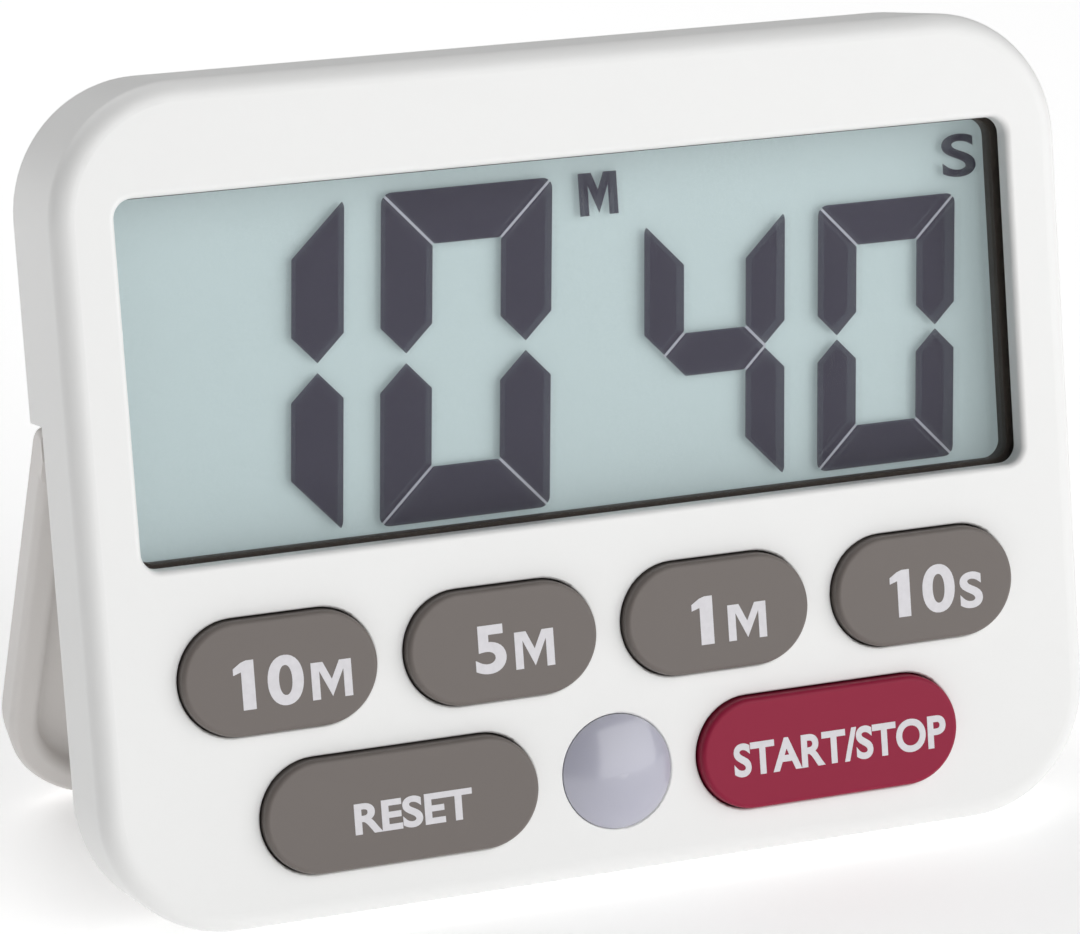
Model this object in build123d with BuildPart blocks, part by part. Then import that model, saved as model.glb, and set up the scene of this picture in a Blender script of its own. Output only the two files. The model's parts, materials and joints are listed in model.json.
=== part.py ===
from build123d import *
import os
from math import atan2, cos, radians, sin, sqrt

# Digital kitchen timer that leans back on a fold-out stand.
#
# All sizes are millimetres. Row frame: +X right, -Y towards the user, +Z up, table at Z = 0.
# The timer is drawn on one leaning plane, `front`, the face that carries the keys:
# local x is right, local y is up the face, and depths are counted back from the face.
# Local (0, 0) is the middle of the upper key row.

# %% Driving dimensions: case
width = 103.0
height = 80.4
corner_r = 12.8
step_y = 24.2                # lower face of the thick section
front_wall = 2.0
side_wall = 1.8
front_edge_r = 2.0
rear_edge_r = 0.8
hole_edge_r = 0.2            # key and lens holes
fit = 0.12                   # gap around a fixed piece in its recess
film = 0.05                  # gap between stacked flat pieces

# %% Driving dimensions: keys, lens and window
key_length = 19.64
key_height = 11.32
key_bridge = 2.69            # between two keys of the upper row
row_bridge = 2.81            # between the two rows
wide_key_length = 28.0
wide_key_x = 22.35
bottom_margin = 4.61         # lower keys to the bottom edge of the face
key_gap = 0.18
key_rise = 1.2
key_edge_r = 0.5
key_flange = 0.75
key_flange_t = 0.9
key_travel = 0.8
plunger_r = 2.2
plunger_length = 1.3
lens_r = 5.66
lens_rise = 1.7
lens_wall = 1.0
lens_flange = 1.0
window_width = 91.3
window_height = 34.6
window_bridge = 5.19         # upper keys to the window
window_r = 1.8
window_edge_r = 0.6
window_margin = 1.0          # how far the sheet reaches behind the wall

# %% Driving dimensions: display stack, mat and board
window_t = 1.0
gasket_t = 1.8
gasket_lip = 0.25
glass_t = 0.85               # one sheet of the display glass
glass_ledge = 2.3            # contact strip along the top of the front sheet
reflector_t = 0.2
zebra_inset = 6.0
mat_t = 0.8
dome_r = 3.2
dome_top_r = 2.5
dome_cavity_r = 1.9
dome_skin = 0.6
led_length = 3.2
led_width = 2.8
led_height = 1.5
board_clear = 0.8            # reflector to the board
board_t = 1.0
board_margin = 1.0
board_screw_above = 2.24     # upper board screws above the keys
board_screw_x, board_screw_y = 42.5, -8.5
board_screw_r = 0.75
board_screw_length = 4.5
board_screw_head_r = 1.4
board_screw_head_t = 0.6
board_screw_clear = 0.3      # screw heads to the rear cover
post_r = 1.6
chip_x, chip_y = 33.0, 31.5
chip_r = 4.5
chip_t = 1.2
capacitor_size = 2.0
crystal_x, crystal_y = -38.0, 31.0
crystal_r = 1.0
crystal_length = 6.0

# %% Driving dimensions: rear cover and what it carries
lower_plate = 1.2
upper_plate = 1.6
lip = 1.2
upper_boss_x = 30.0
upper_boss_drop = 2.7        # from the inner wall down to the screw's axis
boss_r = 2.4
boss_clear = 0.3             # corner boss to the inner wall
tube_r = 2.5
tube_gap = 0.3               # board side of a screw tube to the cover's front edge
seat_floor = 1.2             # plastic under a screw head
screw_r = 0.9
screw_head_r = 1.75
screw_head_t = 1.0
screw_length = 6.0
rear_row_y = 39.9            # magnets, battery and sounder share this height
magnet_x = 40.0
magnet_r = 6.0
magnet_t = 2.5
battery_x = -17.0
cell_r = 10.0
cell_t = 3.2
cell_drop = 0.65             # board to the cell, room for its spring contact
cell_clear = 0.1             # cell to the door
contact_t = 0.2
door_r = 11.8
ledge_t = 0.8                # the door's tabs lock under this ledge
mouth_r = 10.6
tab_reach = 0.8
tab_width = 4.0
tab_t = 0.7
notch_gap = 0.4
door_turn = 60.0
coin_slot_length = 14.0
coin_slot_width = 1.8
coin_slot_depth = 0.4
cup_wall = 1.0
cup_gap = 0.7                # battery cup to the board
sounder_x = 15.0
sounder_r = 10.0
sounder_t = 0.2
sounder_room = 1.2
ceramic_r = 7.0
sound_hole_r = 0.6
sound_hole_ring = 3.0
spring_r = 1.0
spring_wire_r = 0.15
spring_pitch = 0.75
selector_x, selector_y = 0.3, 29.6
selector_length = 9.0
selector_width = 3.8
selector_clear = 0.2         # knob's foot to the cover
selector_travel = 1.5        # each way from the middle
selector_foot = 4.2
selector_foot_t = 0.55
selector_knob = 2.0
selector_sink = 0.3

# %% Driving dimensions: stand
stand_open = 36.5            # degrees between the open stand and the back
stand_length = 47.6          # hinge axis to foot
hinge_drop = 0.25            # barrel to the thick section above it
hinge_out = 1.5              # axis behind the back of the thin section
barrel_r = 2.7
stand_gap = 0.1              # folded stand to the back
stand_rim = 3.0
tray_top = 8.0
tray_depth = 2.5
tray_edge_r = 1.0
stub_r = 1.0
running_gap = 0.05
lug_x = 31.0
lug_width = 5.4
lug_r = 2.2
lug_gap = 0.3

# %% Depths behind the face: each layer starts where the one in front of it ends
flange_back = front_wall + film + key_flange_t
gasket_front = front_wall + film + window_t + film
glass_front = gasket_front + gasket_t + film
strip_front = glass_front + glass_t + film
reflector_front = glass_front + 2 * glass_t + film
board_depth = reflector_front + reflector_t + board_clear
mat_front = board_depth - mat_t
board_back = board_depth + board_t
cover_front = board_back + board_screw_head_t + board_screw_clear
lower_depth = cover_front + lower_plate              # thin section, where the stand folds
cell_depth = board_back + cell_drop
tab_front = cell_depth + cell_t + cell_clear
upper_floor = tab_front + tab_t + film
upper_depth = upper_floor + upper_plate              # thick section above the stand
selector_height = upper_floor - selector_clear - selector_foot_t - film - board_back
upper_tube = cover_front - tube_gap
upper_seat = upper_tube + seat_floor
lower_tube = lower_depth - 2 * seat_floor - tube_gap
lower_seat = lower_tube + seat_floor

# %% Places on the face, counted from the middle of the upper key row
key_pitch = key_length + key_bridge
lower_row_y = -(key_height + row_bridge)
below_keys = bottom_margin + key_height / 2 - lower_row_y
window_y = key_height / 2 + window_bridge + window_height / 2
hinge_y = step_y - hinge_drop - barrel_r
hinge_depth = lower_depth + hinge_out

# %% Lean of the case: its rear bottom edge and the stand's foot touch the table together
open_angle = radians(stand_open)
stand_inner = hinge_depth - lower_depth - stand_gap
foot_down = stand_length - rear_edge_r
foot_in = stand_inner - rear_edge_r
foot_y = hinge_y - foot_down * cos(open_angle) - foot_in * sin(open_angle)
foot_depth = hinge_depth + foot_down * sin(open_angle) - foot_in * cos(open_angle)
heel_y = rear_edge_r - below_keys
heel_depth = lower_depth - rear_edge_r
lean = atan2(foot_y - heel_y, foot_depth - heel_depth)
rise = rear_edge_r - heel_y * cos(lean) + heel_depth * sin(lean)

# Middle of the footprint, from the front of the lower keys to the back of the foot
toe = (lower_row_y - key_height / 2 + key_edge_r) * sin(lean) - key_rise * cos(lean)
foot_t = barrel_r + stand_inner - 2 * rear_edge_r
tail = foot_y * sin(lean) + foot_depth * cos(lean) + foot_t * cos(open_angle - lean) + rear_edge_r
setback = -(toe + tail) / 2


def leaning(origin, angle):
    """Plane that faces the user, x to the right, tipped back by an angle in radians."""
    return Plane(origin=origin, x_dir=(1, 0, 0), z_dir=(0, -cos(angle), sin(angle)))


front = leaning((0, setback, rise), lean)
outward = Axis(front.origin, front.z_dir)
upward = Axis(front.origin, front.y_dir)
hinge = front.from_local_coords((0, hinge_y, -hinge_depth))
leaf = leaning(hinge, lean - open_angle)     # y runs up the stand, z points at the case
hinge_end = Plane(origin=hinge, x_dir=front.y_dir, z_dir=(1, 0, 0))


def behind(depth):
    """Plane parallel to the face, this far behind it."""
    return front.offset(-depth)


os.makedirs("parts", exist_ok=True)

# %% Sizes and places that several pieces share
middle_y = height / 2 - below_keys
inner_width = width - 2 * side_wall
inner_height = height - 2 * side_wall
inner_r = corner_r - side_wall
sheet_width = window_width + 2 * window_margin
sheet_height = window_height + 2 * window_margin
glass_top = window_y + sheet_height / 2 + glass_ledge

upper_boss_y = height - below_keys - side_wall - upper_boss_drop
corner_in = (inner_r - boss_r - boss_clear) / sqrt(2)
lower_boss_x = width / 2 - corner_r + corner_in
lower_boss_y = corner_r - below_keys - corner_in
upper_bosses = ((-upper_boss_x, upper_boss_y), (upper_boss_x, upper_boss_y))
lower_bosses = ((-lower_boss_x, lower_boss_y), (lower_boss_x, lower_boss_y))
screw_seats = ((upper_bosses, upper_tube, upper_seat), (lower_bosses, lower_tube, lower_seat))

board_screw_top = key_height / 2 + board_screw_above
board_screw_places = ((-key_pitch, board_screw_top), (key_pitch, board_screw_top),
                      (-board_screw_x, board_screw_y), (board_screw_x, board_screw_y))

row_names = ("key_10_minutes", "key_5_minutes", "key_1_minute", "key_10_seconds")
keys = [(name, (i - 1.5) * key_pitch, 0, key_length) for i, name in enumerate(row_names)]
keys.append(("key_reset", -wide_key_x, lower_row_y, wide_key_length))
keys.append(("key_start_stop", wide_key_x, lower_row_y, wide_key_length))

# %% Front case: one moulded shell, open at the back
with BuildPart() as front_case:
    with BuildSketch(behind(0)):
        with Locations((0, middle_y)):
            RectangleRounded(width, height, corner_r)
    extrude(amount=-upper_depth)
    with BuildSketch(behind(lower_depth)):
        with Locations((0, step_y - height)):
            Rectangle(2 * width, 2 * height)
    extrude(amount=-upper_depth, mode=Mode.SUBTRACT)
    levels = front_case.faces().filter_by(front).sort_by(outward)
    fillet(levels[-1].edges(), front_edge_r)
    levels = front_case.faces().filter_by(front).sort_by(outward)
    fillet(levels[0].edges() + levels[1].edges().sort_by(upward)[:-1], rear_edge_r)
    with BuildSketch(behind(front_wall)):
        with Locations((0, middle_y)):
            RectangleRounded(inner_width, inner_height, inner_r)
    extrude(amount=-upper_depth, mode=Mode.SUBTRACT)
    # Openings through the face
    with BuildSketch(behind(0)):
        with Locations((0, window_y)):
            RectangleRounded(window_width, window_height, window_r)
        with Locations((0, lower_row_y)):
            Circle(lens_r)
        for name, x, y, length in keys:
            with Locations((x, y)):
                SlotOverall(length, key_height)
    extrude(amount=-front_wall, mode=Mode.SUBTRACT)
    face = front_case.faces().filter_by(front).sort_by(outward)[-1]
    rims = face.inner_wires().sort_by(upward)
    fillet(rims[-1].edges(), window_edge_r)
    face = front_case.faces().filter_by(front).sort_by(outward)[-1]
    rims = face.inner_wires().sort_by(upward)
    fillet(rims[:-1].edges(), hole_edge_r)
    # Posts for the board and bosses for the case screws, with pilot holes
    with BuildSketch(behind(front_wall)):
        with Locations(*board_screw_places):
            Circle(post_r)
    extrude(amount=-(board_depth - front_wall))
    with BuildSketch(behind(board_depth)):
        with Locations(*board_screw_places):
            Circle(board_screw_r + film)
    extrude(amount=board_screw_length - board_t + film, mode=Mode.SUBTRACT)
    for places, tube, seat in screw_seats:
        with BuildSketch(behind(front_wall)):
            with Locations(*places):
                Circle(boss_r)
        extrude(amount=-(tube - film - front_wall))
        with BuildSketch(behind(seat)):
            with Locations(*places):
                Circle(screw_r + film)
        extrude(amount=screw_length + film, mode=Mode.SUBTRACT)
front_case.part.label = "front_case"
export_step(front_case.part, "parts/front_case.step")

# %% Keys: a rounded cap, a flange that rests behind the face, and a plunger
for name, x, y, length in keys:
    with BuildPart() as key:
        with BuildSketch(behind(flange_back)):
            with Locations((x, y)):
                SlotOverall(length - 2 * key_gap, key_height - 2 * key_gap)
        extrude(amount=flange_back + key_rise)
        fillet(key.faces().sort_by(outward)[-1].edges(), key_edge_r)
        with BuildSketch(behind(flange_back)):
            with Locations((x, y)):
                SlotOverall(length + 2 * key_flange, key_height + 2 * key_flange)
        extrude(amount=key_flange_t)
        with BuildSketch(behind(flange_back)):
            with Locations((x, y)):
                Circle(plunger_r)
        extrude(amount=-plunger_length)
    key.part.label = name
    export_step(key.part, f"parts/{name}.step")

# %% Keypad mat: a silicone sheet with a hollow dome under each plunger
with BuildPart() as keypad_membrane:
    mat_top = key_height / 2 + key_flange
    mat_bottom = lower_row_y - mat_top
    dome_top = flange_back + plunger_length + key_travel + film
    with BuildSketch(behind(board_depth)):
        with Locations((0, (mat_top + mat_bottom) / 2)):
            RectangleRounded(4 * key_pitch, mat_top - mat_bottom, key_flange)
        with Locations((0, lower_row_y)):
            Circle(led_length, mode=Mode.SUBTRACT)
        with Locations(*board_screw_places):
            Circle(post_r + fit, mode=Mode.SUBTRACT)
        with Locations(*lower_bosses):
            Circle(boss_r + fit, mode=Mode.SUBTRACT)
    extrude(amount=mat_t)
    for name, x, y, length in keys:
        with BuildSketch(behind(mat_front)):
            with Locations((x, y)):
                Circle(dome_r)
        with BuildSketch(behind(dome_top)):
            with Locations((x, y)):
                Circle(dome_top_r)
        loft()
    with BuildSketch(behind(board_depth)):
        with Locations(*[(x, y) for name, x, y, length in keys]):
            Circle(dome_cavity_r)
    extrude(amount=board_depth - dome_top - dome_skin, mode=Mode.SUBTRACT)
keypad_membrane.part.label = "keypad_membrane"
export_step(keypad_membrane.part, "parts/keypad_membrane.step")

# %% Signal lens: a hollow dome with a flange behind the face
with BuildPart() as signal_lens:
    stem_r = lens_r - film
    hollow_r = stem_r - lens_wall
    flange_front = -front_wall - film
    lens_back = flange_front - lens_wall
    lens_origin = front.from_local_coords((0, lower_row_y, 0))
    with BuildSketch(Plane(origin=lens_origin, x_dir=(1, 0, 0), z_dir=-front.y_dir)):
        with BuildLine():
            ThreePointArc((-stem_r, 0), (0, lens_rise), (stem_r, 0))
            split(bisect_by=Plane.YZ)
            Polyline((stem_r, 0), (stem_r, flange_front), (stem_r + lens_flange, flange_front),
                     (stem_r + lens_flange, lens_back), (hollow_r, lens_back), (hollow_r, -lens_wall),
                     (0, lens_rise - lens_wall), (0, lens_rise))
        make_face()
    revolve(axis=Axis(lens_origin, front.z_dir))
signal_lens.part.label = "signal_lens"
export_step(signal_lens.part, "parts/signal_lens.step")

with BuildPart() as signal_led:
    with BuildSketch(behind(board_depth)):
        with Locations((0, lower_row_y)):
            Rectangle(led_length, led_width)
    extrude(amount=led_height)
    chamfer(signal_led.faces().sort_by(outward)[-1].edges(), led_height / 6)
signal_led.part.label = "signal_led"
export_step(signal_led.part, "parts/signal_led.step")

# %% Display stack, from the front: sheet, gasket, two-step glass, reflector, contact strip
with BuildPart() as display_window:
    with BuildSketch(behind(front_wall + film)):
        with Locations((0, window_y)):
            RectangleRounded(sheet_width, sheet_height, window_r)
    extrude(amount=-window_t)
display_window.part.label = "display_window"
export_step(display_window.part, "parts/display_window.step")

with BuildPart() as lcd_gasket:
    with BuildSketch(behind(gasket_front)):
        with Locations((0, window_y)):
            RectangleRounded(sheet_width, sheet_height, window_r)
            RectangleRounded(window_width - 2 * gasket_lip, window_height - 2 * gasket_lip,
                             window_r, mode=Mode.SUBTRACT)
    extrude(amount=-gasket_t)
lcd_gasket.part.label = "lcd_gasket"
export_step(lcd_gasket.part, "parts/lcd_gasket.step")

with BuildPart() as lcd_panel:
    with BuildSketch(behind(glass_front)):
        with Locations((0, window_y + glass_ledge / 2)):
            Rectangle(sheet_width, sheet_height + glass_ledge)
    extrude(amount=-glass_t)
    with BuildSketch(behind(glass_front + glass_t)):
        with Locations((0, window_y)):
            Rectangle(sheet_width, sheet_height)
    extrude(amount=-glass_t)
lcd_panel.part.label = "lcd_panel"
export_step(lcd_panel.part, "parts/lcd_panel.step")

with BuildPart() as lcd_reflector:
    with BuildSketch(behind(reflector_front)):
        with Locations((0, window_y)):
            Rectangle(sheet_width, sheet_height)
    extrude(amount=-reflector_t)
lcd_reflector.part.label = "lcd_reflector"
export_step(lcd_reflector.part, "parts/lcd_reflector.step")

with BuildPart() as zebra_strip:
    with BuildSketch(behind(strip_front)):
        with Locations((0, glass_top - glass_ledge / 2)):
            Rectangle(sheet_width - 2 * zebra_inset, glass_ledge - 2 * fit)
    extrude(amount=-(board_depth - film - strip_front))
zebra_strip.part.label = "zebra_strip"
export_step(zebra_strip.part, "parts/zebra_strip.step")

# %% Circuit board, its screws, and the parts soldered behind it
with BuildPart() as circuit_board:
    with BuildSketch(behind(board_depth)):
        with Locations((0, middle_y)):
            RectangleRounded(inner_width - 2 * board_margin, inner_height - 2 * board_margin,
                             inner_r - board_margin)
        with Locations(*upper_bosses, *lower_bosses):
            Circle(tube_r + board_margin, mode=Mode.SUBTRACT)
        with Locations(*board_screw_places):
            Circle(board_screw_r + fit, mode=Mode.SUBTRACT)
    extrude(amount=-board_t)
circuit_board.part.label = "circuit_board"
export_step(circuit_board.part, "parts/circuit_board.step")

with BuildPart() as board_screws:
    with BuildSketch(behind(board_back)):
        with Locations(*board_screw_places):
            Circle(board_screw_head_r)
    extrude(amount=-board_screw_head_t)
    with BuildSketch(behind(board_back)):
        with Locations(*board_screw_places):
            Circle(board_screw_r)
    extrude(amount=board_screw_length)
    with BuildSketch(behind(board_back + board_screw_head_t)):
        with Locations(*board_screw_places):
            Rectangle(board_screw_head_r, board_screw_head_t / 2)
            Rectangle(board_screw_head_t / 2, board_screw_head_r)
    extrude(amount=board_screw_head_t / 2, mode=Mode.SUBTRACT)
board_screws.part.label = "board_screws"
export_step(board_screws.part, "parts/board_screws.step")

with BuildPart() as controller_chip:
    with BuildSketch(behind(board_back)):
        with Locations((chip_x, chip_y)):
            Circle(chip_r)
    extrude(amount=-chip_t)
    fillet(controller_chip.faces().sort_by(outward)[0].edges(), chip_t - film)
controller_chip.part.label = "controller_chip"
export_step(controller_chip.part, "parts/controller_chip.step")

with BuildPart() as quartz_crystal:
    can = front.from_local_coords((crystal_x, crystal_y, -board_back - crystal_r))
    with BuildSketch(Plane(origin=can, x_dir=front.y_dir, z_dir=(1, 0, 0))):
        Circle(crystal_r)
    extrude(amount=crystal_length / 2, both=True)
quartz_crystal.part.label = "quartz_crystal"
export_step(quartz_crystal.part, "parts/quartz_crystal.step")

with BuildPart() as board_capacitors:
    with BuildSketch(behind(board_back)):
        with Locations((chip_x, chip_y + 2 * chip_r)):
            with GridLocations(2 * capacitor_size, capacitor_size, 3, 1):
                Rectangle(capacitor_size / 2, capacitor_size)
    extrude(amount=-capacitor_size / 2)
board_capacitors.part.label = "board_capacitors"
export_step(board_capacitors.part, "parts/board_capacitors.step")

# %% Rear cover: thin behind the stand, thick above it, set into the case's rim
with BuildPart() as rear_cover:
    cover_width = inner_width - 2 * fit
    cover_height = inner_height - 2 * fit
    with BuildSketch(behind(cover_front)):
        with Locations((0, middle_y)):
            RectangleRounded(cover_width, cover_height, inner_r - fit)
    extrude(amount=-(upper_depth - cover_front))
    with BuildSketch(behind(lower_depth)):
        with Locations((0, step_y - height)):
            Rectangle(2 * width, 2 * height)
    extrude(amount=-upper_depth, mode=Mode.SUBTRACT)
    step_edge = rear_cover.faces().sort_by(outward)[0].edges().sort_by(upward)[0]
    fillet(step_edge, rear_edge_r)
    # Room behind the board, above the step
    with BuildSketch(behind(cover_front)):
        with Locations((0, middle_y)):
            RectangleRounded(cover_width - 2 * lip, cover_height - 2 * lip, inner_r - fit - lip)
        with Locations((0, step_y + lip - height)):
            Rectangle(2 * width, 2 * height, mode=Mode.SUBTRACT)
    extrude(amount=-(upper_floor - cover_front), mode=Mode.SUBTRACT)
    # Screw tubes, then cups for the battery, the sounder and the magnets
    with BuildSketch(behind(upper_tube)):
        with Locations(*upper_bosses):
            Circle(tube_r)
    extrude(amount=-(upper_floor - upper_tube))
    with BuildSketch(behind(lower_tube)):
        with Locations(*lower_bosses):
            Circle(boss_r - fit)
    extrude(amount=-(cover_front - lower_tube))
    with BuildSketch(behind(board_back + cup_gap)):
        with Locations((battery_x, rear_row_y)):
            Circle(door_r + cup_wall)
            Circle(door_r, mode=Mode.SUBTRACT)
    extrude(amount=-(upper_floor - board_back - cup_gap))
    with BuildSketch(behind(upper_floor - sounder_room)):
        with Locations((sounder_x, rear_row_y)):
            Circle(sounder_r)
            Circle(sounder_r - lip, mode=Mode.SUBTRACT)
    extrude(amount=-sounder_room)
    with BuildSketch(behind(upper_depth - magnet_t - lip)):
        with Locations((-magnet_x, rear_row_y), (magnet_x, rear_row_y)):
            Circle(magnet_r + lip)
    extrude(amount=-(magnet_t + lip - upper_plate))
    # Holes from the back: screws, magnets, sound, selector, battery
    for places, tube, seat in screw_seats:
        with BuildSketch(behind(tube)):
            with Locations(*places):
                Circle(screw_r + 2 * fit)
        extrude(amount=-upper_depth, mode=Mode.SUBTRACT)
        with BuildSketch(behind(seat)):
            with Locations(*places):
                Circle(screw_head_r + fit)
        extrude(amount=-upper_depth, mode=Mode.SUBTRACT)
    with BuildSketch(behind(upper_depth)):
        with Locations((-magnet_x, rear_row_y), (magnet_x, rear_row_y)):
            Circle(magnet_r + film)
    extrude(amount=magnet_t + film, mode=Mode.SUBTRACT)
    with BuildSketch(behind(upper_floor)):
        with Locations((sounder_x, rear_row_y)):
            Circle(sound_hole_r)
            with PolarLocations(sound_hole_ring, 6):
                Circle(sound_hole_r)
        with Locations((selector_x, selector_y)):
            Rectangle(selector_knob + 2 * selector_travel + 2 * lug_gap, selector_knob + 2 * fit)
        with Locations((battery_x, rear_row_y)):
            Circle(mouth_r)
        with Locations(Location((battery_x, rear_row_y), -door_turn)):
            Rectangle(2 * (mouth_r + tab_reach + notch_gap), tab_width + 2 * notch_gap)
    extrude(amount=-upper_plate, mode=Mode.SUBTRACT)
    with BuildSketch(behind(upper_floor + ledge_t)):
        with Locations((battery_x, rear_row_y)):
            Circle(door_r)
    extrude(amount=-upper_plate, mode=Mode.SUBTRACT)
    # Hinge lugs for the stand, with a socket each
    for side in (-1, 1):
        with BuildSketch(hinge_end.offset(side * lug_x)):
            Circle(lug_r)
            with Locations((0, (hinge_depth - cover_front) / 2)):
                Rectangle(2 * lug_r, hinge_depth - cover_front)
            Circle(stub_r + running_gap, mode=Mode.SUBTRACT)
        extrude(amount=lug_width / 2, both=True)
rear_cover.part.label = "rear_cover"
export_step(rear_cover.part, "parts/rear_cover.step")

with BuildPart() as case_screws:
    for places, tube, seat in screw_seats:
        with BuildSketch(behind(seat)):
            with Locations(*places):
                Circle(screw_head_r)
        extrude(amount=-screw_head_t)
        with BuildSketch(behind(seat)):
            with Locations(*places):
                Circle(screw_r)
        extrude(amount=screw_length)
        with BuildSketch(behind(seat + screw_head_t)):
            with Locations(*places):
                Rectangle(screw_head_r, screw_head_t / 3)
                Rectangle(screw_head_t / 3, screw_head_r)
        extrude(amount=screw_head_t / 2, mode=Mode.SUBTRACT)
case_screws.part.label = "case_screws"
export_step(case_screws.part, "parts/case_screws.step")

with BuildPart() as magnets:
    with BuildSketch(behind(upper_depth)):
        with Locations((-magnet_x, rear_row_y), (magnet_x, rear_row_y)):
            Circle(magnet_r)
    extrude(amount=magnet_t)
magnets.part.label = "magnets"
export_step(magnets.part, "parts/magnets.step")

# %% Battery, its two contacts and the quarter-turn door
with BuildPart() as coin_cell:
    with BuildSketch(behind(cell_depth)):
        with Locations((battery_x, rear_row_y)):
            Circle(cell_r - contact_t)
    extrude(amount=-cell_t)
    with BuildSketch(behind(cell_depth + 2 * contact_t)):
        with Locations((battery_x, rear_row_y)):
            Circle(cell_r)
    extrude(amount=-(cell_t - 2 * contact_t))
coin_cell.part.label = "coin_cell"
export_step(coin_cell.part, "parts/coin_cell.step")

with BuildPart() as battery_contact_negative:
    tongue_drop = cell_depth - film - board_back - contact_t
    tongue_base = front.from_local_coords((battery_x, rear_row_y, -board_back))
    with BuildSketch(Plane(origin=tongue_base, x_dir=(1, 0, 0), z_dir=-front.y_dir)):
        with BuildLine():
            Polyline((-cell_r / 2, 0), (cell_r / 4, 0), (cell_r / 2, -tongue_drop),
                     (cell_r / 2, -tongue_drop - contact_t), (cell_r / 4 - contact_t, -contact_t),
                     (-cell_r / 2, -contact_t), close=True)
        make_face()
    extrude(amount=cell_r / 5, both=True)
battery_contact_negative.part.label = "battery_contact_negative"
export_step(battery_contact_negative.part, "parts/battery_contact_negative.step")

with BuildPart() as battery_contact_positive:
    rim_contact = cell_r + film
    with BuildSketch(behind(board_back)):
        with Locations((battery_x - rim_contact - contact_t / 2, rear_row_y)):
            Rectangle(contact_t, cell_r / 2)
    extrude(amount=-(cell_depth + cell_t / 2 - board_back))
    with BuildSketch(behind(board_back)):
        with Locations((battery_x - (rim_contact + door_r - fit) / 2, rear_row_y)):
            Rectangle(door_r - fit - rim_contact, cell_r / 2)
    extrude(amount=-contact_t)
battery_contact_positive.part.label = "battery_contact_positive"
export_step(battery_contact_positive.part, "parts/battery_contact_positive.step")

with BuildPart() as battery_door:
    hub_r = mouth_r - fit
    with BuildSketch(behind(upper_floor + ledge_t + film)):
        with Locations((battery_x, rear_row_y)):
            Circle(door_r - fit)
    extrude(amount=-(upper_plate - ledge_t - film))
    with BuildSketch(behind(tab_front)):
        with Locations((battery_x, rear_row_y)):
            Circle(hub_r)
    extrude(amount=-(upper_floor + ledge_t + film - tab_front))
    with BuildSketch(behind(tab_front)):
        with Locations((battery_x, rear_row_y)):
            Rectangle(2 * (mouth_r + tab_reach), tab_width)
    extrude(amount=-tab_t)
    with BuildSketch(behind(tab_front)):
        with Locations((battery_x, rear_row_y)):
            Circle(hub_r - lip)
    extrude(amount=-tab_t, mode=Mode.SUBTRACT)
    with BuildSketch(behind(upper_depth)):
        with Locations((battery_x, rear_row_y)):
            SlotOverall(coin_slot_length, coin_slot_width)
    extrude(amount=coin_slot_depth, mode=Mode.SUBTRACT)
battery_door.part.label = "battery_door"
export_step(battery_door.part, "parts/battery_door.step")

# %% Sounder: a brass disc with a ceramic face, and two springs from the board
with BuildPart() as piezo_disc:
    with BuildSketch(behind(upper_floor - sounder_room)):
        with Locations((sounder_x, rear_row_y)):
            Circle(sounder_r)
    extrude(amount=sounder_t)
    with BuildSketch(behind(upper_floor - sounder_room - sounder_t)):
        with Locations((sounder_x, rear_row_y)):
            Circle(ceramic_r)
    extrude(amount=sounder_t)
piezo_disc.part.label = "piezo_disc"
export_step(piezo_disc.part, "parts/piezo_disc.step")

with BuildPart() as piezo_springs:
    brass_face = upper_floor - sounder_room - sounder_t
    rim_x = sounder_x + (sounder_r + ceramic_r) / 2
    for x, face_depth in ((sounder_x, brass_face - sounder_t), (rim_x, brass_face)):
        coil_end = face_depth - film - spring_wire_r
        coil_height = coil_end - board_back - film - spring_wire_r
        with BuildLine() as coil:
            Helix(spring_pitch, coil_height, spring_r,
                  center=front.from_local_coords((x, rear_row_y, -coil_end)), direction=front.z_dir)
        with BuildSketch(Plane(origin=coil.line @ 0, z_dir=coil.line % 0)):
            Circle(spring_wire_r)
        sweep(path=coil.line, is_frenet=True)
piezo_springs.part.label = "piezo_springs"
export_step(piezo_springs.part, "parts/piezo_springs.step")

# %% Selector: a slide switch behind the board, its knob in the cover's slot
with BuildPart() as selector_body:
    with BuildSketch(behind(board_back)):
        with Locations((selector_x, selector_y)):
            Rectangle(selector_length, selector_width)
    extrude(amount=-selector_height)
selector_body.part.label = "selector_body"
export_step(selector_body.part, "parts/selector_body.step")

with BuildPart() as selector_knob_piece:
    foot_front = board_back + selector_height + film
    with BuildSketch(behind(foot_front)):
        with Locations((selector_x, selector_y)):
            Rectangle(selector_foot, selector_width - 2 * fit)
    extrude(amount=-selector_foot_t)
    with BuildSketch(behind(foot_front)):
        with Locations((selector_x, selector_y)):
            Rectangle(selector_knob, selector_knob)
    extrude(amount=-(upper_depth - selector_sink - foot_front))
selector_knob_piece.part.label = "selector_knob"
export_step(selector_knob_piece.part, "parts/selector_knob.step")

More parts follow.
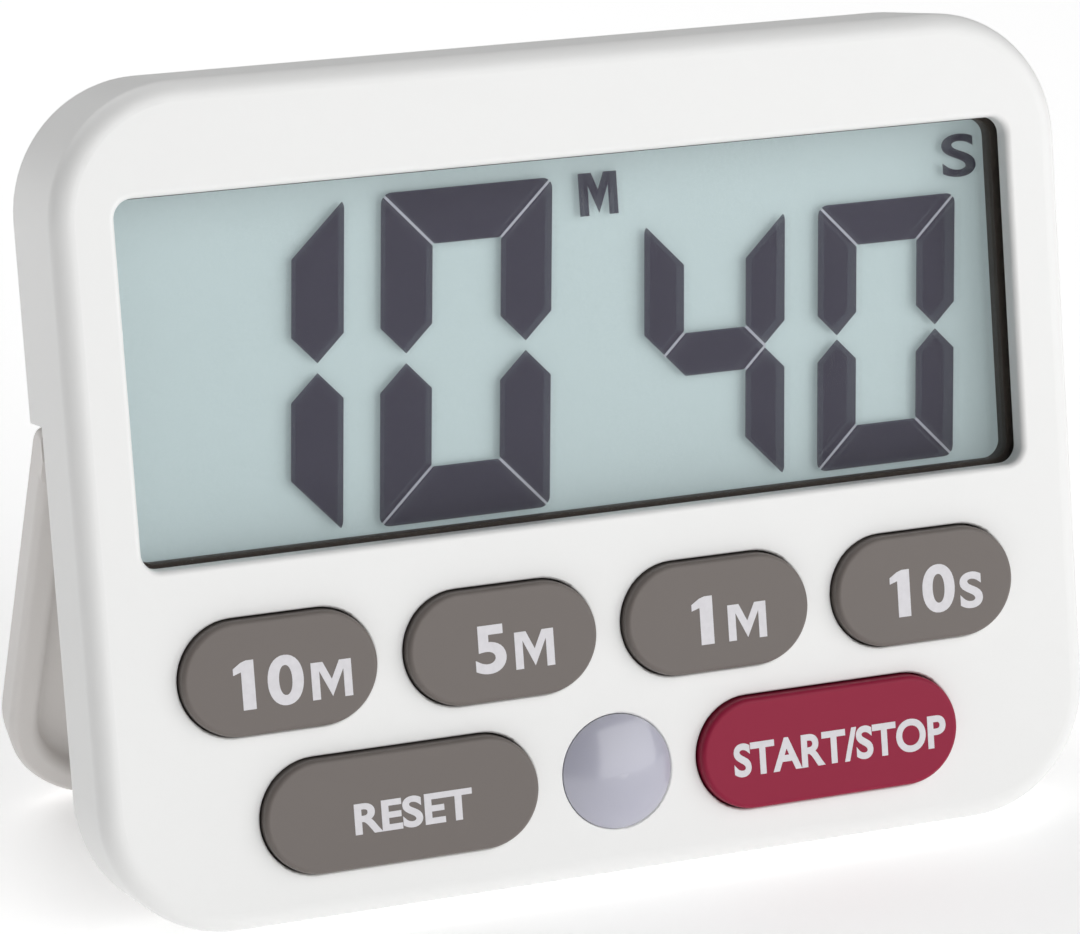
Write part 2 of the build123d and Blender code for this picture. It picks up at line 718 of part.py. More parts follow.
# %% Stand: a shallow tray that hangs from a barrel along its top edge
with BuildPart() as stand_leaf:
    with BuildSketch(leaf.offset(stand_inner)) as leaf_outline:
        with Locations((0, -stand_length / 2)):
            Rectangle(width, stand_length)
        fillet(leaf_outline.vertices().group_by(Axis.Y)[0], corner_r)
    extrude(amount=-(barrel_r + stand_inner))
    leaf_faces = stand_leaf.faces().filter_by(leaf)
    rims = [face.edges().sort_by(Axis(hinge, leaf.y_dir))[:-1] for face in leaf_faces]
    fillet(rims[0] + rims[1], rear_edge_r)
    with BuildSketch(leaf.offset(stand_inner)) as tray_outline:
        tray_length = stand_length - stand_rim - tray_top
        with Locations((0, -tray_top - tray_length / 2)):
            Rectangle(width - 2 * stand_rim, tray_length)
        fillet(tray_outline.vertices().group_by(Axis.Y)[0], corner_r - stand_rim)
        fillet(tray_outline.vertices().group_by(Axis.Y)[-1], stand_rim)
    extrude(amount=-tray_depth, mode=Mode.SUBTRACT)
    inner_faces = stand_leaf.faces().filter_by(leaf).sort_by(Axis(hinge, leaf.z_dir))
    fillet(inner_faces[1].edges() + inner_faces[-1].inner_wires().edges(), tray_edge_r)

with BuildPart() as stand:
    with BuildSketch(hinge_end):
        Circle(barrel_r)
    extrude(amount=width / 2, both=True)
    fillet(stand.edges().filter_by(GeomType.CIRCLE), rear_edge_r)
    # Flat inner side, so that the folded stand lies on the back
    with BuildSketch(leaf.offset(stand_inner)):
        Rectangle(2 * width, 4 * barrel_r)
    extrude(amount=barrel_r, mode=Mode.SUBTRACT)
    add(stand_leaf.part)
    # Stop: the open stand meets the back along this flat
    with BuildSketch(behind(lower_depth + film)):
        with Locations((0, hinge_y)):
            Rectangle(2 * width, 4 * barrel_r)
    extrude(amount=barrel_r, mode=Mode.SUBTRACT)
    # Notches for the lugs, each with a stub axle
    notch_r = sqrt(lug_r ** 2 + (hinge_depth - lower_depth) ** 2) + lug_gap
    for side in (-1, 1):
        with BuildSketch(hinge_end.offset(side * lug_x)):
            Circle(notch_r)
        extrude(amount=lug_width / 2 + lug_gap, both=True, mode=Mode.SUBTRACT)
        with BuildSketch(hinge_end.offset(side * (lug_x - lug_width / 2 - 2 * lug_gap))):
            Circle(stub_r)
        extrude(amount=side * lug_width)
stand.part.label = "stand"
export_step(stand.part, "parts/stand.step")
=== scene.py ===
# %% [markdown]
# # A digital kitchen timer, standing on its fold-out leg
#
# The case, keys, stand and everything inside arrive as finished CAD parts. This lesson gives them
# their looks: moulded plastics with the right grain, a liquid crystal display with real depth,
# printed legends, a milky signal lens, and a quiet studio to show them in.

# %% Load the fixed frame
import json
import math

import bpy
from mathutils import Matrix, Vector


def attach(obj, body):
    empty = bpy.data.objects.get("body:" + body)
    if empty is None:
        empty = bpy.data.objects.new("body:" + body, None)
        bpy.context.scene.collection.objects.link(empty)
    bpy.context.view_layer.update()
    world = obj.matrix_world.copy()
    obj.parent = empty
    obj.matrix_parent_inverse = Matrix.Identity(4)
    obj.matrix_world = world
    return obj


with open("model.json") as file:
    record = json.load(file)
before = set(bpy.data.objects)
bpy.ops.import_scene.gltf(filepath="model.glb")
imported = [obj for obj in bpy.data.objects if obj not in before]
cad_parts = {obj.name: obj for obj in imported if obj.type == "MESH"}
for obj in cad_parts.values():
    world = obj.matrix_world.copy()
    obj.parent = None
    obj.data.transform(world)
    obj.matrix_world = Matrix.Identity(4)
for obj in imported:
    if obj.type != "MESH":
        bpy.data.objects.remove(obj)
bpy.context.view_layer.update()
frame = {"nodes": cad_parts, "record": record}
MM = 0.001

# %% [markdown]
# ## Working on the leaning face
#
# The timer leans back, so its face isn't square to the world. Everything new is drawn flat, as on
# a desk: x to the right, y up the face, z out of it, with (0, 0, 0) in the middle of the upper key
# row. One matrix then stands the finished mesh up on the face. The record's mount, the centre of
# the right magnet, gives the way the back looks and one known point.

# %% The face's own axes
mount = next(m for m in frame["record"]["mounts"] if m["name"] == "magnet_face")
MAGNET_AT = Vector((40.0, 39.9, -15.0)) * MM
out = -Vector(mount["axis"]).normalized()
right = Vector((1, 0, 0))
FACE = Matrix((right, out.cross(right), out)).transposed().to_4x4()
FACE.translation = Vector(mount["pos_m"]) - FACE.to_3x3() @ MAGNET_AT
print("the face leans back", round(math.degrees(math.asin(out.z)), 1), "degrees")

# %% [markdown]
# ## Camera
#
# A long lens, far away, keeps the keys of the near and the far side almost the same size. The
# camera looks down from the front left. It is placed in the face's axes, because what matters is
# how the face is seen: eye and aim are two points, and a small roll levels the horizon.

# %% Place the camera
EYE = Vector((-157.2, 75.2, 397.2)) * MM
AIM = Vector((-5.83, 16.31, 0.0)) * MM
ROLL = 0.99
LENS = 150.0

bpy.ops.object.camera_add(location=FACE @ EYE)
camera = bpy.context.object
sight = FACE.to_3x3() @ (AIM - EYE)
camera.rotation_mode = "QUATERNION"
turn = Matrix.Rotation(math.radians(ROLL), 3, "Z")
camera.rotation_quaternion = (sight.to_track_quat("-Z", "Y").to_matrix() @ turn).to_quaternion()
camera.data.lens = LENS
camera.data.sensor_width = 36.0
camera.data.clip_start = 0.01
bpy.context.scene.camera = camera
print("camera stands", round(sight.length / MM), "mm away")

# %% [markdown]
# ## Colours and nodes
#
# Colours are written as the hex codes a paint chart would give, which are sRGB. Shaders work with
# linear light, so one function converts them. A second one adds a node, sets its sockets and
# plugs in its links, so that each material reads as a short list of what the surface is made of.

# %% Three helpers for materials
def linear(code):
    """A paint chart's hex code as linear red, green, blue and alpha."""
    steps = [int(code[i:i + 2], 16) / 255 for i in (0, 2, 4)]
    return [s / 12.92 if s <= 0.04045 else ((s + 0.055) / 1.055) ** 2.4 for s in steps] + [1.0]


def add(tree, kind, settings=None, links=None):
    """Adds a node. Settings are its properties or sockets; links are (node, output) by socket."""
    made = tree.nodes.new(kind)
    for name, value in (settings or {}).items():
        if isinstance(name, str) and hasattr(made, name):
            setattr(made, name, value)
        else:
            made.inputs[name].default_value = value
    for socket, (source, output) in (links or {}).items():
        tree.links.new(source.outputs[output], made.inputs[socket])
    return made


def material(name, colour, **shader):
    """A new material with one Principled shader: (material, its node tree, the shader)."""
    made = bpy.data.materials.new(name)
    made.use_nodes = True
    surface = made.node_tree.nodes["Principled BSDF"]
    surface.inputs["Base Color"].default_value = linear(colour)
    for socket, value in shader.items():
        surface.inputs[socket.replace("_", " ")].default_value = value
    return made, made.node_tree, surface


def dress(made, *names):
    """Gives a material to CAD nodes."""
    for name in names:
        mesh = frame["nodes"][name].data
        mesh.materials.clear()
        mesh.materials.append(made)
    print(made.name, "on", ", ".join(names))

# %% [markdown]
# ## Moulded plastic
#
# The case, cover, stand and keys are ABS, injected into steel moulds. The steel was spark eroded,
# which leaves a fine, even, matt grain of about 0.2 mm on every outer wall. It has no direction,
# so plain noise drives a very shallow bump, and a second, broad noise lets the colour and the
# gloss wander a little, as handled plastic does. The stand's white is painted shade, a tone
# darker and warmer than the case's. The keys have a finer grain than the walls.

# %% A moulded plastic in any colour
GRAIN = 0.2 * MM
DRIFT = 30 * MM
A, B, RESULT = 6, 7, 2          # a colour Mix node's sockets: first colour, second colour, result


def moulded(name, colour, roughness, grain_height, tone, **extra):
    """ABS from a spark-eroded mould; grain height in mm, tone is the share its colour drifts by."""
    made, tree, surface = material(name, colour, **extra)
    place = add(tree, "ShaderNodeTexCoord")
    grain = add(tree, "ShaderNodeTexNoise", {"Scale": 1 / (2 * GRAIN), "Detail": 2.0},
                {"Vector": (place, "Object")})
    drift = add(tree, "ShaderNodeTexNoise", {"Scale": 1 / DRIFT, "Detail": 1.0},
                {"Vector": (place, "Object")})
    shade = add(tree, "ShaderNodeMapRange", {"To Min": 1 - tone, "To Max": 1.0},
                {"Value": (drift, "Fac")})
    paint = add(tree, "ShaderNodeMix", {"data_type": "RGBA", "blend_type": "MULTIPLY", 0: 1.0,
                                        A: linear(colour)}, {B: (shade, "Result")})
    gloss = add(tree, "ShaderNodeMapRange",
                {"To Min": roughness - 0.04, "To Max": roughness + 0.06}, {"Value": (drift, "Fac")})
    relief = add(tree, "ShaderNodeBump", {"Strength": 0.35, "Distance": grain_height * MM},
                 {"Height": (grain, "Fac")})
    tree.links.new(paint.outputs[RESULT], surface.inputs["Base Color"])
    tree.links.new(gloss.outputs["Result"], surface.inputs["Roughness"])
    tree.links.new(relief.outputs["Normal"], surface.inputs["Normal"])
    return made


ABS = 1.53
WALLS = {"roughness": 0.42, "grain_height": 0.01, "tone": 0.02, "IOR": ABS}
KEYS = {"roughness": 0.46, "grain_height": 0.006, "tone": 0.05, "IOR": ABS}
white_abs = moulded("White_ABS_spark_grain", "EEEEED", **WALLS)
# painted shade: the stand's white is set darker and warmer than the case's, as it looks in shade
painted_shade_stand_abs = moulded("Warm_white_ABS_spark_grain_painted_shade", "E0DCD9", **WALLS)
grey_abs = moulded("Taupe_ABS_fine_grain", "716A66", Specular_IOR_Level=0.3, **KEYS)
red_abs = moulded("Dark_red_ABS_fine_grain", "901B3A", Specular_IOR_Level=0.2, **KEYS)
black_abs = moulded("Black_ABS_fine_grain", "26262A", 0.45, 0.006, 0.05, IOR=ABS)
dress(white_abs, "front_case", "rear_cover", "battery_door")
dress(painted_shade_stand_abs, "stand")
dress(grey_abs, "key_10_minutes", "key_5_minutes", "key_1_minute", "key_10_seconds", "key_reset")
dress(red_abs, "key_start_stop")
dress(black_abs, "selector_knob")

# %% [markdown]
# ## The display's layers
#
# A liquid crystal display is a stack: a clear sheet, a black foam gasket, the glass with its dark
# segments, and behind it a pearly foil that throws the light back. The segments stand off the
# foil, so they drop a soft shadow on it, and that shadow is most of what makes it look real.
# Both clear layers are mostly alpha, because light has to pass twice without turning dark.
# The reflector also glows a little, though it is no lamp: painted light that softens the shadows on
# it.

# %% Clear sheet, glass, foil and gasket
def smeared(tree, surface, size, low, high):
    """Lets the roughness of a smooth surface wander between two values, in patches of a size."""
    place = add(tree, "ShaderNodeTexCoord")
    patches = add(tree, "ShaderNodeTexNoise", {"Scale": 1 / (size * MM), "Detail": 3.0},
                  {"Vector": (place, "Object")})
    gloss = add(tree, "ShaderNodeMapRange", {"To Min": low, "To Max": high},
                {"Value": (patches, "Fac")})
    tree.links.new(gloss.outputs["Result"], surface.inputs["Roughness"])


clear_pmma, tree, surface = material("Clear_PMMA_sheet", "F8FCFC", IOR=1.49,
                                     Transmission_Weight=1.0, Alpha=0.06)
smeared(tree, surface, 12, 0.04, 0.12)
cell_glass, tree, surface = material("Soda_lime_display_glass", "EEF6F4", IOR=1.52,
                                     Transmission_Weight=1.0, Alpha=0.04)
smeared(tree, surface, 20, 0.1, 0.2)
dress(clear_pmma, "display_window")
dress(cell_glass, "lcd_panel")

# painted light: the reflector glows, though it is no lamp, which lightens the shadows thrown on it
glowing_foil, tree, surface = material("Pearl_reflector_foil_painted_glow", "B4C9C8", Roughness=0.5,
                               Emission_Color=linear("B8C8CA"), Emission_Strength=0.4)
place = add(tree, "ShaderNodeTexCoord")
pearl = add(tree, "ShaderNodeTexNoise", {"Scale": 1 / (0.25 * MM), "Detail": 3.0},
            {"Vector": (place, "Object")})
tint = add(tree, "ShaderNodeMix", {"data_type": "RGBA", A: linear("8A9A9B"), B: linear("9FADAF")},
           {0: (pearl, "Fac")})
tree.links.new(tint.outputs[RESULT], surface.inputs["Base Color"])
dress(glowing_foil, "lcd_reflector")

foam, tree, surface = material("Black_EVA_foam", "403832", Roughness=0.85)
place = add(tree, "ShaderNodeTexCoord")
cells = add(tree, "ShaderNodeTexVoronoi", {"Scale": 1 / (0.3 * MM)}, {"Vector": (place, "Object")})
pores = add(tree, "ShaderNodeBump", {"Strength": 0.4, "Distance": 0.05 * MM},
            {"Height": (cells, "Distance")})
tree.links.new(pores.outputs["Normal"], surface.inputs["Normal"])
dress(foam, "lcd_gasket", "zebra_strip")

# %% [markdown]
# ## Milky signal lens
#
# The dome over the lamp is milky polycarbonate, 1 mm thick. Light enters it and comes out again
# nearby, so it looks soft inside and glossy outside. Subsurface scattering with a radius of about
# a millimetre does the first, over a dull base, and a thin smooth coat does the second.

# %% Milky polycarbonate
milky, tree, surface = material("Milky_polycarbonate", "B3B3C1", IOR=1.58, Subsurface_Weight=0.6,
                                Coat_Weight=1.0, Coat_Roughness=0.12,
                                Subsurface_Radius=(1.0, 1.0, 1.1), Subsurface_Scale=1.2 * MM)
smeared(tree, surface, 8, 0.34, 0.42)
dress(milky, "signal_lens")

# %% [markdown]
# ## What is inside and behind
#
# The board, the mat, the metal and the small parts are out of sight when the case is closed, but
# each is what it is. Rolled or turned metal has fine lines one way, so its noise is stretched 40
# times along them. The board is green solder mask, and the copper under it shows as lighter tracks.

# %% Metals, board and small parts
def metal(name, colour, roughness, line=0.08):
    """Sheet or plated metal: lines of a width in mm run along x, in gloss and in a faint relief."""
    made, tree, surface = material(name, colour, Metallic=1.0)
    place = add(tree, "ShaderNodeTexCoord")
    along = add(tree, "ShaderNodeMapping", {"Scale": (1 / 40, 1, 1)}, {"Vector": (place, "Object")})
    lines = add(tree, "ShaderNodeTexNoise", {"Scale": 1 / (2 * line * MM), "Detail": 3.0},
                {"Vector": (along, "Vector")})
    gloss = add(tree, "ShaderNodeMapRange",
                {"To Min": roughness - 0.08, "To Max": roughness + 0.12}, {"Value": (lines, "Fac")})
    relief = add(tree, "ShaderNodeBump", {"Strength": 0.2, "Distance": 0.005 * MM},
                 {"Height": (lines, "Fac")})
    tree.links.new(gloss.outputs["Result"], surface.inputs["Roughness"])
    tree.links.new(relief.outputs["Normal"], surface.inputs["Normal"])
    return made


def speckled(name, light, dark, grain, roughness, **extra):
    """A cast, fired or printed material, mottled between two tones in grains of a size in mm."""
    made, tree, surface = material(name, light, Roughness=roughness, **extra)
    place = add(tree, "ShaderNodeTexCoord")
    spots = add(tree, "ShaderNodeTexNoise", {"Scale": 1 / (2 * grain * MM), "Detail": 4.0},
                {"Vector": (place, "Object")})
    tone = add(tree, "ShaderNodeMix", {"data_type": "RGBA", A: linear(light), B: linear(dark)},
               {0: (spots, "Fac")})
    relief = add(tree, "ShaderNodeBump", {"Strength": 0.3, "Distance": 0.02 * MM},
                 {"Height": (spots, "Fac")})
    tree.links.new(tone.outputs[RESULT], surface.inputs["Base Color"])
    tree.links.new(relief.outputs["Normal"], surface.inputs["Normal"])
    return made


dress(metal("Nickel_plate", "C9C8C4", 0.28), "magnets", "quartz_crystal", "coin_cell",
      "selector_body")
dress(metal("Zinc_plated_steel", "B9BABC", 0.38), "board_screws", "case_screws")
dress(metal("Spring_steel", "A9A8A4", 0.32), "battery_contact_negative", "battery_contact_positive",
      "piezo_springs")
dress(metal("Rolled_brass", "D2B26A", 0.3), "piezo_disc")
dress(speckled("Grey_silicone", "8E8C8A", "858381", 0.4, 0.6), "keypad_membrane")
dress(speckled("Black_epoxy", "1A1A1A", "121212", 0.8, 0.22), "controller_chip")
dress(speckled("Tan_ceramic", "B79B76", "A58A66", 0.2, 0.5), "board_capacitors")
dress(speckled("Lamp_epoxy", "F1EFDF", "E6E2C8", 0.3, 0.3), "signal_led")

TRACK = 0.8                     # from one copper track to the next, in mm
mask, tree, surface = material("Green_solder_mask_on_FR4", "2F6B45", Roughness=0.35)
place = add(tree, "ShaderNodeTexCoord")
tracks = add(tree, "ShaderNodeTexBrick",
             {"Scale": 1 / (4 * TRACK * MM), "Mortar Size": 0.04, "Color1": linear("2C6641"),
              "Color2": linear("2F6B45"), "Mortar": linear("4A8A5C")}, {"Vector": (place, "Object")})
tree.links.new(tracks.outputs["Color"], surface.inputs["Base Color"])
dress(mask, "circuit_board")

# %% [markdown]
# ## Drawing one segment
#
# A digit is made of seven bars with mitred ends. A bar starts as a flat rectangle, and a few
# straight cuts (bisect) trim it: a mitre where two bars meet at a corner, and a point where the
# bars meet half way up. Only three bars are ever drawn: top, upper right and middle. The other
# four are the same shapes seen in a mirror.

# %% Plates, cuts and mirrors
def select_only(*pieces):
    bpy.ops.object.select_all(action="DESELECT")
    for piece in pieces:
        piece.select_set(True)
    bpy.context.view_layer.objects.active = pieces[0] if pieces else None


def plate(name, low, high):
    """A flat rectangle between two corners, in mm, lying on the desk."""
    select_only()
    middle = ((low[0] + high[0]) / 2 * MM, (low[1] + high[1]) / 2 * MM, 0)
    bpy.ops.mesh.primitive_plane_add(size=MM, location=middle)
    made = bpy.context.object
    made.name = name
    made.scale = (high[0] - low[0], high[1] - low[1], 1)
    bpy.ops.object.transform_apply(location=True, rotation=True, scale=True)
    return made


def trim(piece, point, away):
    """Cuts off what lies beyond a line through a point, on the side that `away` points to."""
    select_only(piece)
    bpy.ops.object.mode_set(mode="EDIT")
    bpy.ops.mesh.select_all(action="SELECT")
    normal = Vector((*away, 0)).normalized()
    where = (point[0] * MM, point[1] * MM, 0)
    bpy.ops.mesh.bisect(plane_co=where, plane_no=normal, clear_outer=True)
    bpy.ops.object.mode_set(mode="OBJECT")


def round_corner(piece, corner, radius):
    """Rounds the one vertex of a flat plate that lies at a corner."""
    select_only(piece)
    bpy.ops.object.mode_set(mode="EDIT")
    bpy.ops.mesh.select_mode(type="VERT")
    bpy.ops.mesh.select_all(action="DESELECT")
    bpy.ops.object.mode_set(mode="OBJECT")
    for vertex in piece.data.vertices:
        vertex.select = (vertex.co.xy / MM - Vector(corner)).length < 0.01
    bpy.ops.object.mode_set(mode="EDIT")
    bpy.ops.mesh.bevel(offset=radius * MM, segments=6, affect="VERTICES")
    bpy.ops.object.mode_set(mode="OBJECT")


def mirrored(piece, flip_x, flip_y):
    """A copy with its own mesh, seen in a mirror along x, y or both."""
    select_only(piece)
    bpy.ops.object.duplicate()
    copy = bpy.context.object
    copy.data.transform(Matrix.Diagonal((flip_x, flip_y, 1, 1)))
    if flip_x * flip_y < 0:
        copy.data.flip_normals()
    return copy


def joined(name, pieces):
    """One piece from several."""
    select_only(*pieces)
    if len(pieces) > 1:
        bpy.ops.object.join()
    made = bpy.context.object
    made.name = name
    made.data.name = name
    return made


def thicken(piece, depth):
    """Gives a flat piece a thickness below it, in mm, with its faces outwards."""
    select_only(piece)
    bpy.ops.object.shade_flat()
    solid = piece.modifiers.new("Thickness", "SOLIDIFY")
    solid.thickness = depth * MM
    solid.offset = -1.0
    bpy.ops.object.modifier_apply(modifier=solid.name)


def finish(piece, made_of, body, place):
    """Stands a piece up on the face, gives it its material and makes it ride on a body."""
    piece.data.transform(FACE @ place)
    piece.data.materials.clear()
    piece.data.materials.append(made_of)
    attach(piece, body)


def at(x, y, z, lean=0.0):
    """Matrix that puts a flat drawing at a place in mm, leaned to the right."""
    return Matrix(((1, lean, 0, x * MM), (0, 1, 0, y * MM), (0, 0, 1, z * MM), (0, 0, 0, 1)))

# %% [markdown]
# ## The display's ink
#
# What looks like ink is liquid crystal that has turned dark. It is a violet black, a little
# glossy, and lies where the two sheets of glass meet. The thin lines between the segments have no
# electrode, so there it stays clear. They are drawn as pale strips, painted light that stands in for
# the lit reflector seen through them and covers the segments' shadow there.

# %% Darkened liquid crystal, and painted light for the clear lines
ink, tree, surface = material("Darkened_liquid_crystal", "3F3D4B", IOR=1.5, Specular_IOR_Level=0.1)
smeared(tree, surface, 10, 0.3, 0.45)
# painted light: the clear lines get a pale colour of their own, standing in for the lit reflector
# behind them
clear = speckled("Clear_liquid_crystal_painted_light", "B9BCC6", "AEB2BC", 0.2, 0.5)

# %% [markdown]
# ## Digits
#
# The minutes are large and the seconds smaller, all leaning a little to the right. The lean is a
# shear, which a matrix does exactly. The bars of a digit are joined into one piece.

# %% Three bars, then any digit
GAP = 0.25                      # between two bars
INK_DEPTH = 0.04
INK_Z = -5.8
LIT = {"1": "bc", "4": "bcfg", "0": "abcdef"}
MIRROR = {"a": ("top", 1, 1), "d": ("top", 1, -1), "b": ("side", 1, 1), "c": ("side", 1, -1),
          "f": ("side", -1, 1), "e": ("side", -1, -1), "g": ("middle", 1, 1)}


def bars(width, height, thick, notch, corner):
    """The three bars of a digit of that size, around its centre, in mm."""
    edge, crown, cut = width / 2, height / 2, GAP / math.sqrt(2)
    top = plate("top", (-edge, crown - thick), (edge, crown))
    for way in (-1, 1):
        round_corner(top, (way * edge, crown), corner)
        trim(top, (way * (edge - cut), crown), (way, -1))
    side = plate("side", (edge - thick, notch), (edge, crown))
    round_corner(side, (edge, crown), corner)
    trim(side, (edge, crown - cut), (-1, 1))
    for way in (-1, 1):
        trim(side, (edge - thick / 2, notch), (way, -1))
    tip = edge - thick / 2 - cut
    middle = plate("middle", (-tip, -thick / 2), (tip, thick / 2))
    for way_x, way_y in ((-1, -1), (-1, 1), (1, -1), (1, 1)):
        trim(middle, (way_x * tip, 0), (way_x, way_y))
    return {"top": top, "side": side, "middle": middle}


def painted_light_line(start, end):
    """Painted light in the clear line between two bars: a pale strip as wide as the gap, cut square
    at both ends.
    """
    along = (Vector(end) - Vector(start)).normalized()
    across = Vector((-along.y, along.x)) * GAP / 2
    low = [min(start[i], end[i]) - GAP for i in (0, 1)]
    high = [max(start[i], end[i]) + GAP for i in (0, 1)]
    strip = plate("painted_light_line", low, high)
    for point, away in ((Vector(start) + across, across), (Vector(start) - across, -across),
                        (start, -along), (end, along)):
        trim(strip, point, away)
    return strip


def digit(name, figure, kit, x, y, lean):
    """One figure from a kit of bars, set into the glass with its centre at x, y."""
    copies = [mirrored(kit[MIRROR[letter][0]], *MIRROR[letter][1:]) for letter in LIT[figure]]
    made = joined(name, copies)
    thicken(made, INK_DEPTH)
    finish(made, ink, "case", at(x, y, INK_Z, lean))
    print(name, "shows", figure)


def corner_line(size, way_x, way_y):
    """The painted-light strip at a corner of a figure: right or left (1, -1), up or down (1, -1)."""
    edge, crown, thick = size["width"] / 2, size["height"] / 2, size["thick"]
    outer = (way_x * (edge - size["corner"] / 3), way_y * (crown - size["corner"] / 3))
    return painted_light_line(outer, (way_x * (edge - thick), way_y * (crown - thick)))


def waist_line(size, way_x, way_y):
    """The painted-light strip half way up a figure, between its middle bar and one upright bar."""
    edge, thick = size["width"] / 2, size["thick"]
    return painted_light_line((way_x * (edge - thick / 2), 0), (way_x * (edge - thick), way_y * thick / 2))


def painted_light_lines(name, strips, x, y, lean):
    """The painted-light strips of one figure's clear lines, set into the glass with its centre at x,
    y.
    """
    made = joined(name, strips)
    thicken(made, INK_DEPTH)
    finish(made, clear, "case", at(x, y, INK_Z - INK_DEPTH / 4, lean))


MINUTES = {"width": 17.5, "height": 31.8, "thick": 5.25, "notch": 0.46, "corner": 1.05}
SECONDS = {"width": 15.0, "height": 26.3, "thick": 4.2, "notch": 0.2, "corner": 1.0}
MINUTES_Y, MINUTES_LEAN = 27.4, 0.081
SECONDS_Y, SECONDS_LEAN = 24.75, 0.07
TEN_MINUTES_AT = (-31.55, MINUTES_Y, MINUTES_LEAN)
MINUTES_AT = (-10.35, MINUTES_Y, MINUTES_LEAN)
TEN_SECONDS_AT = (15.5, SECONDS_Y, SECONDS_LEAN)
SECONDS_AT = (34.1, SECONDS_Y, SECONDS_LEAN)
WAYS = ((-1, -1), (-1, 1), (1, -1), (1, 1))

large, small = bars(**MINUTES), bars(**SECONDS)
painted_light_lines("painted_light_lines_minutes", [corner_line(MINUTES, *way) for way in WAYS], *MINUTES_AT)
painted_light_lines("painted_light_lines_seconds", [corner_line(SECONDS, *way) for way in WAYS], *SECONDS_AT)
painted_light_lines("painted_light_lines_ten_seconds", [waist_line(SECONDS, *way) for way in WAYS[1:]],
            *TEN_SECONDS_AT)
digit("figure_ten_minutes", "1", large, *TEN_MINUTES_AT)
digit("figure_minutes", "0", large, *MINUTES_AT)
digit("figure_ten_seconds", "4", small, *TEN_SECONDS_AT)
digit("figure_seconds", "0", small, *SECONDS_AT)
for bar in (*large.values(), *small.values()):
    bpy.data.objects.remove(bar)

# %% [markdown]
# ## Letters and numbers
#
# The key legends are pad printed in pale grey. Most of the letters come from the text tool with
# its plain built-in face, made bold by an offset. That face has a 1 without a flag, and an M that
# folds over itself when it is made bold, so those two are drawn from trimmed plates instead. Every
# one is drawn first and then stretched to the box it should fill, so any face would fit.

# %% Drawing a line of letters, a one and an M
BOLD = 0.03                     # offset, as a share of the letter size


def lettering(words, bold):
    """Flat letters as a mesh, a metre high at most."""
    select_only()
    bpy.ops.object.text_add(location=(0, 0, 0))
    made = bpy.context.object
    made.data.body = words
    made.data.offset = bold
    made.data.resolution_u = 8
    bpy.ops.object.convert(target="MESH")
    return bpy.context.object


def one(name, bold):
    """A 1 with a flag, 100 mm high: a stem, and a sloping flag cut from a plate beside it."""
    stem_width, reach, drop, flag = 25 + 100 * bold, 17, 11, 19
    stem = plate(name, (0, 0), (stem_width, 100))
    trim(stem, (0, 100 - drop / 3), (-drop / reach / 2, 1))
    arm = plate("flag", (-reach, 50), (0, 100))
    trim(arm, (0, 100 - drop / 3), (-drop / reach, 1))
    trim(arm, (0, 100 - drop / 3 - flag), (drop / reach / 2, -1))
    return joined(name, [stem, arm])


def letter_m(name, bold):
    """An M, 100 mm high: two stems, and two slanting strokes that meet in the middle."""
    half, stem_width, low = 55, 19 + 100 * bold, 5
    stroke = 2.1 * stem_width
    stem = plate("stem", (half - stem_width, 0), (half, 100))
    slant = plate("slant", (0, 0), (half - stem_width, 100))
    slope = (100 - low) / (half - stem_width / 2)
    trim(slant, (0, low + stroke), (-slope, 1))
    trim(slant, (0, low), (slope, -1))
    return joined(name, [stem, mirrored(stem, -1, 1), slant, mirrored(slant, -1, 1)])


def fill_box(piece, low, high):
    """Stretches a flat drawing so that it fills the box between two corners, in mm."""
    points = [vertex.co for vertex in piece.data.vertices]
    start = Vector([min(p[i] for p in points) for i in (0, 1)])
    size = Vector([max(p[i] for p in points) for i in (0, 1)]) - start
    stretch = [(high[i] - low[i]) * MM / size[i] for i in (0, 1)]
    piece.data.transform(Matrix.Translation((-start.x, -start.y, 0)))
    piece.data.transform(Matrix.Diagonal((*stretch, 1, 1)))
    piece.data.transform(Matrix.Translation((low[0] * MM, low[1] * MM, 0)))


DRAW = {"1": one, "M": letter_m}


def legend(name, parts, made_of, body, z, thick, bold=BOLD):
    """One printed legend: each part is its letters and the box they fill."""
    drawn = []
    for words, low, high in parts:
        piece = DRAW.get(words, lettering)(words, bold)
        fill_box(piece, low, high)
        drawn.append(piece)
    made = joined(name, drawn)
    thicken(made, thick)
    finish(made, made_of, body, at(0, 0, z + thick))
    print(name, "reads", "".join(words for words, low, high in parts))

# %% [markdown]
# ## Printing the keys and the display's units
#
# Pad-printed ink stands 0.02 mm proud and is a little rougher than the key. It shows the speckle
# of the pad, so its colour is mottled at a third of a millimetre.

# %% Legends on keys and display
PRINT = 0.02
KEY_TOP = 1.2
print_ink = speckled("Pale_grey_pad_print", "E0DEE2", "CECCD0", 0.3, 0.5)


def key_print(key, *parts):
    legend("print_" + key[4:], parts, print_ink, key, KEY_TOP, PRINT)


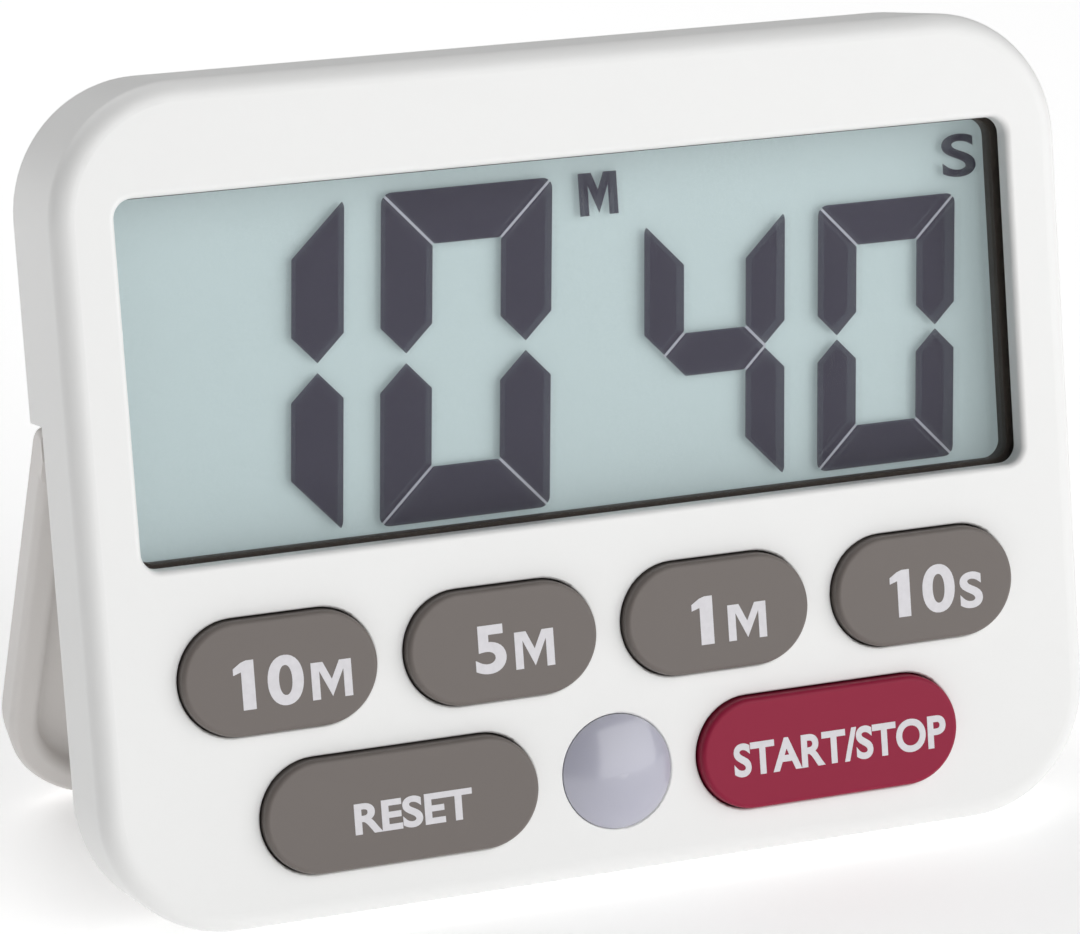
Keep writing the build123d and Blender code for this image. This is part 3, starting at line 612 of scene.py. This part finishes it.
key_print("key_10_minutes", ("1", (-38.2, -2.95), (-36.15, 1.75)),
          ("0", (-34.9, -3.0), (-31.35, 1.8)), ("M", (-30.6, -2.9), (-26.6, 0.65)))
key_print("key_5_minutes", ("5", (-14.15, -2.7), (-11.0, 2.0)), ("M", (-10.1, -2.65), (-6.1, 0.95)))
key_print("key_1_minute", ("1", (8.35, -2.75), (10.55, 2.0)), ("M", (12.1, -2.75), (16.15, 0.8)))
key_print("key_10_seconds", ("1", (29.6, -2.7), (31.75, 2.0)), ("0", (33.1, -2.75), (36.65, 2.1)),
          ("S", (37.2, -2.75), (39.7, 0.9)))
key_print("key_reset", ("RESET", (-27.4, -16.35), (-15.5, -13.3)))
key_print("key_start_stop", ("START/STOP", (11.8, -16.3), (34.8, -12.95)))
legend("figure_unit_minutes", [("M", (2.3, 39.2), (6.3, 43.35))], ink, "case",
       INK_Z, INK_DEPTH, bold=0.07)
legend("figure_unit_seconds", [("S", (41.3, 39.4), (45.0, 43.7))], ink, "case",
       INK_Z, INK_DEPTH, bold=0.018)

# %% [markdown]
# ## A quiet studio
#
# The timer stands on white paper. One very large soft box, 30 degrees to the right of straight
# ahead, does most of the work: it leaves the left side a tone darker, pushes the digits' shadows to
# the left, and is the square gleam on the lens. A second box, above and behind, lifts the upper
# edges and whitens the paper. The paper glows a little too, as a light table does.

# %% Floor, world and lights
select_only()
bpy.ops.mesh.primitive_plane_add(size=6.0, location=(0, 0, 0))
floor = bpy.context.object
floor.name = "floor"
paper, tree, surface = material("White_paper", "FFFFFF", Roughness=0.9,
                                Emission_Color=linear("FFFFFF"), Emission_Strength=0.36)
place = add(tree, "ShaderNodeTexCoord")
fibres = add(tree, "ShaderNodeTexNoise", {"Scale": 1 / (2 * MM)}, {"Vector": (place, "Object")})
relief = add(tree, "ShaderNodeBump", {"Strength": 0.1, "Distance": 0.02 * MM},
             {"Height": (fibres, "Fac")})
tree.links.new(relief.outputs["Normal"], surface.inputs["Normal"])
floor.data.materials.append(paper)

world = bpy.data.worlds.new("Studio")
world.use_nodes = True
sky = world.node_tree.nodes["Background"]
sky.inputs["Color"].default_value = linear("FFFFFF")
sky.inputs["Strength"].default_value = 0.1
bpy.context.scene.world = world
bpy.context.scene.view_settings.view_transform = "Standard"


FACE_MIDDLE_Y = 16


def soft_box(name, towards, distance, size, power, roll=0.0):
    """A square soft box, seen from the middle of the face in a direction in the face's axes."""
    middle = FACE @ (Vector((0, FACE_MIDDLE_Y, 0)) * MM)
    direction = (FACE.to_3x3() @ Vector(towards)).normalized()
    bpy.ops.object.light_add(type="AREA", location=middle + direction * distance)
    light = bpy.context.object
    light.name = name
    light.data.shape = "SQUARE"
    light.data.size = size
    light.data.energy = power
    facing = (-direction).to_track_quat("-Z", "Y").to_matrix()
    light.rotation_euler = (facing @ Matrix.Rotation(math.radians(roll), 3, "Z")).to_euler()
    print(name, "at", [round(v, 2) for v in light.location])


soft_box("box_front", (0.5, 0.06, 0.86), 1.2, 1.7, 19.5, roll=-15)
soft_box("box_above", (-0.4, 1.0, -0.55), 1.4, 1.4, 11.0)
